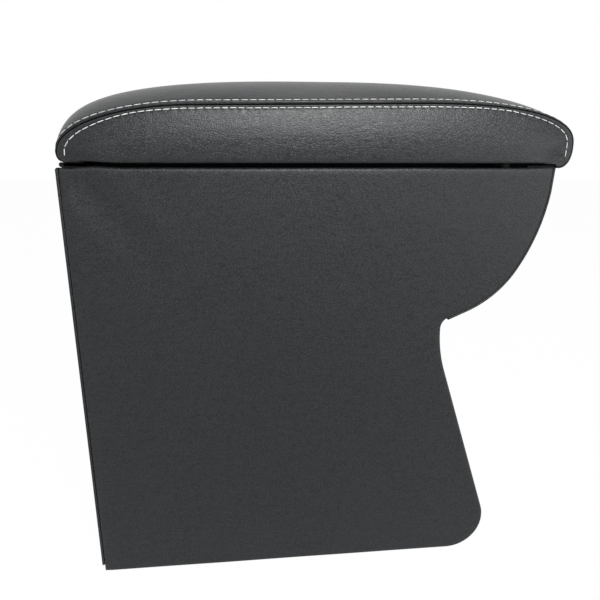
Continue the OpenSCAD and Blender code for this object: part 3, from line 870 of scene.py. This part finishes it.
def lid_surface(lid, count):
    """Rows across the whole lid, from one lower edge over the crown to the other."""
    side, side_offsets = side_rows(lid, count)
    strip = []
    for off in STRIP_ROWS:
        share = 1 - off / lid.seam_y
        loop = lid_loop(lid, 1 - share ** CROWN_POWER, 0)
        strip.append(placed(evenly(loop, count), lid.seam_y * share))
    half = side[::-1] + strip[1:]
    offsets = side_offsets[::-1] + STRIP_ROWS[1:]
    flip = np.array([1, -1, 1])
    rows = half + [row * flip for row in half[-2::-1]]
    return np.array(rows), np.array(offsets + offsets[-2::-1])


def lid_grid(lid, count):
    """The lid's outside as a grid, each point knowing its place along and off a seam."""
    rows, offsets = lid_surface(lid, count)
    bm = bmesh.new()
    bmesh.ops.create_grid(bm, x_segments=len(rows) - 1, y_segments=count - 1, size=1)
    off = bm.verts.layers.float.new("seam_off")
    along = bm.verts.layers.float.new("seam_along")
    for v in bm.verts:
        i = round((v.co.x + 1) / 2 * (len(rows) - 1))
        j = round((v.co.y + 1) / 2 * (count - 1))
        v[off] = offsets[i]
        v[along] = j * lid.columns / (count - 1)
        v.co = rows[i, j]
    bmesh.ops.remove_doubles(bm, verts=bm.verts[:], dist=0.01 * MM)
    bmesh.ops.dissolve_degenerate(bm, edges=bm.edges[:], dist=0.01 * MM)
    bmesh.ops.recalc_face_normals(bm, faces=bm.faces[:])
    top = max(bm.faces, key=lambda f: f.calc_center_median().z)
    if top.normal.z < 0:
        bmesh.ops.reverse_faces(bm, faces=bm.faces[:])
    return bm


def eased(value, start, reach):
    """Nothing up to start, one from start + reach on, and a soft rise between."""
    share = min(1, max(0, (value - start) / reach))
    return share * share * (3 - 2 * share)


# Where the lid's lower edge starts to hang: from the box's back, and from its front
SIDE_DIP_START, SIDE_DIP_REACH = 14 * MM, 26 * MM
FRONT_DIP_START, FRONT_DIP_REACH = -4 * MM, 8 * MM
DIP_WIDTH = 9 * MM  # the side edges hang this far in under the lid
DIP_HEIGHT = 14 * MM  # and are drawn down from this high


def dip(lid, x, margin=0.0):
    """How far the lid's lower edge hangs, at its sides and in front of the box's rim."""
    front_x = BACK_X + bpy.context.scene.armrest_box.box_length
    side = lid.side_dip * eased(x, BACK_X + SIDE_DIP_START, SIDE_DIP_REACH)
    side *= 1 - eased(margin, 0, DIP_WIDTH)
    return max(side, lid.front_dip * eased(x, front_x + FRONT_DIP_START, FRONT_DIP_REACH))


def hang_edge(bm, lid):
    for v in bm.verts:
        v.co.z -= dip(lid, v.co.x) * max(0, 1 - (v.co.z - lid.lid_height) / DIP_HEIGHT)


def attribute(mesh, name):
    values = np.zeros(len(mesh.vertices), np.float32)
    mesh.attributes[name].data.foreach_get("value", values)
    return values


def points_of(mesh):
    flat = np.zeros(len(mesh.vertices) * 3)
    mesh.vertices.foreach_get("co", flat)
    return flat.reshape(-1, 3)


SWELL_FRAMES = 20


def filled_with_air(piece, cap, pins):
    """Lets the cover swell between its seams as foam under it would, by at most cap."""
    scene = bpy.context.scene
    group = piece.vertex_groups.new(name="sewn")
    group.add([int(i) for i in np.flatnonzero(pins)], 1.0, "REPLACE")
    cloth = piece.modifiers.new("swell", "CLOTH")
    cloth.settings.vertex_group_mass = "sewn"
    cloth.settings.quality = 6
    cloth.settings.mass = 0.25
    cloth.settings.tension_stiffness = 5
    cloth.settings.compression_stiffness = 5
    cloth.settings.bending_stiffness = 0.4
    cloth.settings.shrink_min = 0.0
    cloth.settings.use_pressure = True
    cloth.settings.uniform_pressure_force = 4
    cloth.settings.effector_weights.gravity = 0
    cloth.collision_settings.use_collision = False
    for number in range(1, SWELL_FRAMES + 1):
        scene.frame_set(number)
    swollen = piece.evaluated_get(bpy.context.evaluated_depsgraph_get())
    rest = points_of(piece.data)
    moved = points_of(swollen.data) - rest
    piece.modifiers.remove(cloth)
    scene.frame_set(1)
    reach = np.linalg.norm(moved, axis=1, keepdims=True)
    moved *= np.minimum(1, cap / np.maximum(reach, 1e-9))
    piece.data.vertices.foreach_set("co", (rest + moved).ravel())
    piece.vertex_groups.remove(group)


def refined(piece, levels):
    """Subdivides a piece for good, with its attributes."""
    smooth = piece.modifiers.new("refine", "SUBSURF")
    smooth.levels = smooth.render_levels = levels
    smooth.boundary_smooth = "PRESERVE_CORNERS"
    fine = bpy.data.meshes.new_from_object(
        piece.evaluated_get(bpy.context.evaluated_depsgraph_get()),
        preserve_all_data_layers=True, depsgraph=bpy.context.evaluated_depsgraph_get(),
    )
    piece.modifiers.remove(smooth)
    piece.data = fine


def hump(value, centre, width):
    return np.exp(-(((value - centre) / width) ** 2))


ROW_SPREAD_STITCHES = 11  # stitches from a seam's end over which its side row spreads


def row_depth(sewing, along, last):
    """A side row runs further from the seam where the seam turns down at its ends."""
    from_end = np.minimum(along, last - along)
    spread = np.clip(1 - from_end / ROW_SPREAD_STITCHES, 0, 1) ** 1.5
    return sewing.side_row + sewing.side_row_spread * spread


# Across a seam, in mm, up the strip as positive: height, middle and half width of a form
VALLEY_WIDTH = 0.42
FOLD_FORMS = ((0.25, 0.7, 0.3), (-0.55, 1.3, 0.22), (0.3, 2.3, 0.8), (0.35, -1.6, 0.9))
ROW_FORM = (-0.4, 0.7)  # height and half width of the groove that a stitch row pulls in
HOLE_FORM = (-0.18, 1.6)  # and of the dimples at its needle holes
# Half width of the painted shade in the seam's valley, and the span of the painted shade in
# the fold beside it
SEAM_PAINTED_SHADE = 0.45 * MM
FOLD_PAINTED_SHADE = (1.1 * MM, 1.5 * MM)


def paint_fold_shade(mesh):
    """Gives the faces deep in the seam, and in the fold beside it, the leatherette with
    painted shade.
    """
    off = attribute(mesh, "seam_off")
    for face in mesh.polygons:
        middle = sum(off[i] for i in face.vertices) / len(face.vertices)
        if abs(middle) < SEAM_PAINTED_SHADE or FOLD_PAINTED_SHADE[0] < middle < FOLD_PAINTED_SHADE[1]:
            # material 1 is the leatherette with painted shade
            face.material_index = 1


def sew_seams(mesh, sewing):
    """Presses the seam's valley, its fold and both stitch rows into the cover."""
    off = attribute(mesh, "seam_off") / MM
    along = attribute(mesh, "seam_along")
    strip = sewing.strip_row / MM
    side = -row_depth(sewing, along, along.max()) / MM
    depth = -sewing.valley / MM * hump(off, 0, VALLEY_WIDTH)
    for height, middle, width in FOLD_FORMS:
        depth += height * hump(off, middle, width)
    holes = np.cos(FULL_TURN * along)
    for (height, width), share in ((ROW_FORM, 1), (HOLE_FORM, holes)):
        depth += height * share * (hump(off, strip, width) + hump(off, side, width))
    normals = np.zeros(len(mesh.vertices) * 3, np.float32)
    mesh.vertex_normals.foreach_get("vector", normals)
    points = points_of(mesh) + depth[:, None] * MM * normals.reshape(-1, 3)
    mesh.vertices.foreach_set("co", points.ravel())
    mesh.update()


def turn_under(bm, lid):
    """Turns the cover under the lid board, with a pocket that the board sits in."""
    board_low, board_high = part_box("lid_board")
    rim = [e for e in bm.edges if len(e.link_faces) == 1]
    verts = {v for e in rim for v in e.verts}
    low = Vector((min(v.co[k] for v in verts) for k in range(3)))
    high = Vector((max(v.co[k] for v in verts) for k in range(3)))
    half_x, half_y = (high.x - low.x) / 2, (high.y - low.y) / 2
    centre_x = (high.x + low.x) / 2
    play = 0.25 * MM
    pocket = half_x - (board_high.x - board_low.x) / 2 - play
    rest = board_low.z - 0.05 * MM
    stages = [
        (3 * MM, lid.lid_height - 0.1 * MM), (lid.hem - 0.5 * MM, lid.lid_height),
        (lid.hem, rest), (pocket, rest), (pocket, board_high.z + play),
    ]
    edges, done = rim, 0.0
    for margin, rise in stages:
        on_rim = rise < lid.lid_height + lid.skin / 2
        grown = bmesh.ops.extrude_edge_only(bm, edges=edges)["geom"]
        # The turned-under hem gets painted shade: the darkened leatherette, as if shaded in
        # the gap under the lid
        for face in only(bmesh.types.BMFace, grown):
            face.material_index = 1
        for v in only(bmesh.types.BMVert, grown):
            v.co.x = centre_x + (v.co.x - centre_x) * (half_x - margin) / (half_x - done)
            v.co.y *= (half_y - margin) / (half_y - done)
            v.co.z = rise - (dip(lid, v.co.x, margin) if on_rim else 0)
        edges = only(bmesh.types.BMEdge, grown)
        done = margin
    bmesh.ops.holes_fill(bm, edges=edges, sides=0)
    bmesh.ops.recalc_face_normals(bm, faces=bm.faces[:])


SWELL_CAP = 2.2 * MM
# What stays still while the cover swells: near a seam, the lower edge or a seam's ends
PINNED_OFF, PINNED_HEIGHT, PINNED_STITCHES = 4 * MM, 3 * MM, 1.2


def lid_padding(lid, sewing):
    """The whole cover: shaped, swollen, refined, sewn and turned under the board."""
    bm = lid_grid(lid, 2 * lid.columns + 1)
    hang_edge(bm, lid)
    # The second finish carries painted shade, for the seam, its fold and the hems under the
    # lid
    piece = as_piece(
        bm, "lid_padding", ["leatherette_sewn", "leatherette_painted_shade"], "lid",
        ["lid_foam", "lid_centre_strip", "lid_left_side", "lid_right_side"],
    )
    off = np.abs(attribute(piece.data, "seam_off"))
    along = attribute(piece.data, "seam_along")
    height = points_of(piece.data)[:, 2] - lid.lid_height
    ends = (along < PINNED_STITCHES) | (along > lid.columns - PINNED_STITCHES)
    pins = (off < PINNED_OFF) | (height < PINNED_HEIGHT) | ends
    filled_with_air(piece, SWELL_CAP, pins)
    refined(piece, 1)
    sew_seams(piece.data, sewing)
    # Painted shade on the seam's valley and the fold beside it
    paint_fold_shade(piece.data)
    bm = bmesh.new()
    bm.from_mesh(piece.data)
    turn_under(bm, lid)
    bm.to_mesh(piece.data)
    bm.free()
    soft_shaded(piece.data, 50)
    return piece


ROW_END = 0.6 * MM  # a side row's last stitch ends this far above the lower edge


def side_row_line(lid, sewing, count):
    """Side view of the stitch row on a side panel, down to the lid's lower edge."""
    upper = slice(CORNER_STEPS + 1, -CORNER_STEPS - 1)
    near = lid_loop(lid, 0, sewing.side_row)[upper]
    far = lid_loop(lid, 0, sewing.side_row + sewing.side_row_spread)[upper]
    run = np.concatenate([[0], np.cumsum(np.linalg.norm(np.diff(near, axis=0), axis=1))])
    stitch = run / run[-1] * lid.columns
    spread = row_depth(sewing, stitch, lid.columns) - sewing.side_row
    line = near + (far - near) * (spread / sewing.side_row_spread)[:, None]
    low = lid.lid_height + ROW_END
    rear, front = (line[0, 0] - ROW_END, low), (line[-1, 0] + ROW_END, low)
    return evenly(np.concatenate([[rear], line, [front]]), count)


class ARMREST_OT_lid_padding(bpy.types.Operator):
    """Padded, crowned lid cover with its sewn seams"""

    bl_idname = "armrest.lid_padding"
    bl_label = "Padded Lid"

    def execute(self, context):
        lid_padding(context.scene.armrest_lid, context.scene.armrest_stitching)
        return {"FINISHED"}


STITCH_STEPS = 8  # points along a row's line for each stitch
STITCH_RISE = 0.25 * MM  # how far a stitch's middle lies above the leatherette
STITCH_BLUNT = 0.7  # under 1 makes a stitch's ends blunt
SIDE_ROW_OUT = 0.9 * MM  # a side row's line, before it is drawn onto the cover


class ARMREST_OT_stitches(bpy.types.Operator):
    """Two rows of topstitches along each seam"""

    bl_idname = "armrest.stitches"
    bl_label = "Stitches"

    def execute(self, context):
        lid = context.scene.armrest_lid
        sewing = context.scene.armrest_stitching
        padding = bpy.data.objects["lid_padding"]
        surface = bmesh.new()
        surface.from_mesh(padding.data)
        tree = BVHTree.FromBMesh(surface)
        count = lid.columns * STITCH_STEPS + 1
        for name, side in (("left", 1), ("right", -1)):
            bm = bmesh.new()
            share = 1 - sewing.strip_row / lid.seam_y
            loop = lid_loop(lid, 1 - share ** CROWN_POWER, 0)
            strip = placed(evenly(loop, count), lid.seam_y * share)
            edge = placed(side_row_line(lid, sewing, count), lid.seam_y + SIDE_ROW_OUT)
            for line in (strip, edge):
                self.sew_row(bm, tree, line * np.array([1, side, 1]), sewing)
            name += "_seam_stitches"
            as_piece(bm, name, ["thread"], "lid", angle=80)
        surface.free()
        return {"FINISHED"}

    def sew_row(self, bm, tree, line, sewing):
        """Blunt stitches that lie on the cover's surface along a line near it."""
        half = STITCH_STEPS // 2
        for k in range(half, len(line) - STITCH_STEPS, STITCH_STEPS):
            here, normal, _face, _gap = tree.find_nearest(Vector(line[k + half]))
            before = tree.find_nearest(Vector(line[k]))[0]
            after = tree.find_nearest(Vector(line[k + STITCH_STEPS]))[0]
            pitch = (after - before).length
            along = (after - before).normalized()
            across = normal.cross(along).normalized()
            up = along.cross(across)
            turn = Matrix((along, across, up)).transposed().to_4x4()
            middle = (before + after + here) / 3 + up * STITCH_RISE
            size = Matrix.Diagonal((
                0.5 * sewing.dash_share * pitch, sewing.thread_radius,
                0.9 * sewing.thread_radius, 1,
            ))
            stitch = bmesh.ops.create_uvsphere(
                bm, u_segments=8, v_segments=6, radius=1,
                matrix=Matrix.Rotation(math.pi / 2, 4, "Y"),
            )["verts"]
            for v in stitch:
                v.co.x = math.copysign(abs(v.co.x) ** STITCH_BLUNT, v.co.x)
            bmesh.ops.transform(
                bm, matrix=Matrix.Translation(middle) @ turn @ size, verts=stitch
            )


CAD_FINISHES = {
    "leatherette": (
        "left_cheek_cover", "right_cheek_cover", "back_cover", "front_cover",
        "lid_centre_strip", "lid_left_side", "lid_right_side",
    ),
    "plywood_x": ("back_panel", "front_panel"),
    "plywood_y": ("left_cheek", "right_cheek"),
    "plywood_z": (
        "compartment_floor", "left_floor_cleat", "right_floor_cleat", "lid_board",
        "nest_board",
    ),
    "felt": ("compartment_liner", "nest_felt", "lid_foam"),
    "black_steel": (
        "box_hinge_leaf", "lid_hinge_leaf", "hinge_pin", "box_hinge_screws",
        "lid_hinge_screws",
    ),
    "zinc_steel": ("panel_screws", "cleat_screws", "nest_screws"),
    "buffer_rubber": ("rim_buffers",),
}


class ARMREST_OT_frame_finishes(bpy.types.Operator):
    """Finishes of the boards, felt, fittings and hinge that keep their CAD shape"""

    bl_idname = "armrest.frame_finishes"
    bl_label = "Boards, Felt and Hinge"

    def execute(self, context):
        finish_of = {node: name for name, nodes in CAD_FINISHES.items() for node in nodes}
        for name, node in frame["nodes"].items():
            node.data.materials.clear()
            node.data.materials.append(material(finish_of[name]))
        return {"FINISHED"}


# Place, target and size of each softbox
HIGH_SOFTBOX = ((0.2, -1.42, 1.42), (0.02, 0, 0.25), 0.9)
SIDE_SOFTBOX = ((1.0, -1.1, 0.4), (0, 0, 0.1), 0.8)
FLOOR_HALF = 12
FLOOR_DROP = 0.2 * MM  # keeps the floor clear of the feet
FLOOR_GLOW = 0.98  # share of white in the floor as seen directly
WORLD_LIGHT = 0.2


class ARMREST_OT_stage(bpy.types.Operator):
    """Pale floor, soft studio light and the camera"""

    bl_idname = "armrest.stage"
    bl_label = "Stage"

    def execute(self, context):
        stage = context.scene.armrest_stage
        bm = bmesh.new()
        bmesh.ops.create_grid(bm, x_segments=2, y_segments=2, size=FLOOR_HALF)
        bmesh.ops.translate(bm, vec=(0, 0, -FLOOR_DROP), verts=bm.verts[:])
        mesh = bpy.data.meshes.new("floor")
        bm.to_mesh(mesh)
        bm.free()
        floor = bpy.data.objects.new("floor", mesh)
        mesh.materials.append(self.pale_floor())
        context.scene.collection.objects.link(floor)
        self.white_world(context)
        self.softbox(context, "high_softbox", *HIGH_SOFTBOX, stage.key)
        self.softbox(context, "side_softbox", *SIDE_SOFTBOX, stage.fill)
        camera = bpy.data.objects.new("camera", bpy.data.cameras.new("camera"))
        camera.data.lens = stage.lens
        camera.data.sensor_width = 36
        camera.location = stage.eye
        camera.rotation_euler = (stage.pitch, 0, stage.yaw)
        context.scene.collection.objects.link(camera)
        context.scene.camera = camera
        context.scene.view_settings.view_transform = "Standard"
        return {"FINISHED"}

    def seen_directly(self, tree):
        """One for rays of the camera, of reflections and through glass, else nothing."""
        path = tree.nodes.new("ShaderNodeLightPath")
        total = path.outputs["Is Camera Ray"]
        for kind in ("Is Glossy Ray", "Is Transmission Ray"):
            either = tree.nodes.new("ShaderNodeMath")
            either.operation = "MAXIMUM"
            tree.links.new(total, either.inputs[0])
            tree.links.new(path.outputs[kind], either.inputs[1])
            total = either.outputs[0]
        return total

    def mixed(self, tree, share, lit, seen, into):
        """Feeds an output with one shader, and by the share with another."""
        mix = tree.nodes.new("ShaderNodeMixShader")
        for socket, source in zip(mix.inputs, (share, lit, seen)):
            tree.links.new(source, socket)
        tree.links.new(mix.outputs[0], tree.nodes[into].inputs["Surface"])

    def glow(self, tree, kind, strength):
        """White light of a strength, from a floor or a world."""
        node = tree.nodes.new(kind)
        node.inputs["Color"].default_value = (1, 1, 1, 1)
        node.inputs["Strength"].default_value = strength
        return node.outputs[0]

    def pale_floor(self):
        """Pale floor that looks white and still takes a faint shadow."""
        finish = bpy.data.materials.new("pale_floor")
        finish.use_nodes = True
        tree = finish.node_tree
        shader = tree.nodes["Principled BSDF"]
        shader.inputs["Base Color"].default_value = (0.9, 0.9, 0.9, 1)
        shader.inputs["Roughness"].default_value = 0.9
        weight = tree.nodes.new("ShaderNodeMath")
        weight.operation = "MULTIPLY"
        weight.inputs[1].default_value = FLOOR_GLOW
        tree.links.new(self.seen_directly(tree), weight.inputs[0])
        white = self.glow(tree, "ShaderNodeEmission", 1.0)
        self.mixed(
            tree, weight.outputs[0], shader.outputs["BSDF"], white, "Material Output"
        )
        return finish

    def white_world(self, context):
        """White to the camera and in reflections, and a soft grey light on the object."""
        world = bpy.data.worlds.new("white_studio")
        world.use_nodes = True
        tree = world.node_tree
        tree.nodes.remove(tree.nodes["Background"])
        lit = self.glow(tree, "ShaderNodeBackground", WORLD_LIGHT)
        seen = self.glow(tree, "ShaderNodeBackground", 1.0)
        self.mixed(tree, self.seen_directly(tree), lit, seen, "World Output")
        context.scene.world = world

    def softbox(self, context, name, place, target, size, power):
        light = bpy.data.lights.new(name, "AREA")
        light.shape = "SQUARE"
        light.size = size
        light.energy = power
        lamp = bpy.data.objects.new(name, light)
        lamp.location = place
        lamp.rotation_euler = (
            (Vector(target) - Vector(place)).to_track_quat("-Z", "Y").to_euler()
        )
        context.scene.collection.objects.link(lamp)


class ARMREST_PT_panel(bpy.types.Panel):
    """Sizes, finishes and pieces of the armrest"""

    bl_idname = "ARMREST_PT_panel"
    bl_label = "Armrest"
    bl_space_type = "VIEW_3D"
    bl_region_type = "UI"
    bl_category = "Armrest"

    def draw(self, context):
        for name, group in GROUPS.items():
            box = self.layout.box()
            box.label(text=group.__name__)
            for key in group.__annotations__:
                box.prop(getattr(context.scene, name), key)
        for operator in OPERATORS:
            self.layout.operator(operator.bl_idname)


GROUPS = {
    "armrest_box": ArmrestBox,
    "armrest_lid": ArmrestLid,
    "armrest_stitching": ArmrestStitching,
    "armrest_finish": ArmrestFinish,
    "armrest_stage": ArmrestStage,
}
OPERATORS = [
    ARMREST_OT_stage,
    ARMREST_OT_frame_finishes,
    ARMREST_OT_cheek_covers,
    ARMREST_OT_end_covers,
    ARMREST_OT_lid_padding,
    ARMREST_OT_stitches,
]


def register():
    for cls in [*GROUPS.values(), *OPERATORS, ARMREST_PT_panel]:
        bpy.utils.register_class(cls)
    for name, group in GROUPS.items():
        setattr(bpy.types.Scene, name, PointerProperty(type=group))


def unregister():
    for name in GROUPS:
        delattr(bpy.types.Scene, name)
    for cls in reversed([*GROUPS.values(), *OPERATORS, ARMREST_PT_panel]):
        bpy.utils.unregister_class(cls)


def main():
    register()
    for operator in OPERATORS:
        group, name = operator.bl_idname.split(".")
        getattr(getattr(bpy.ops, group), name)()


if __name__ == "__main__":
    main()
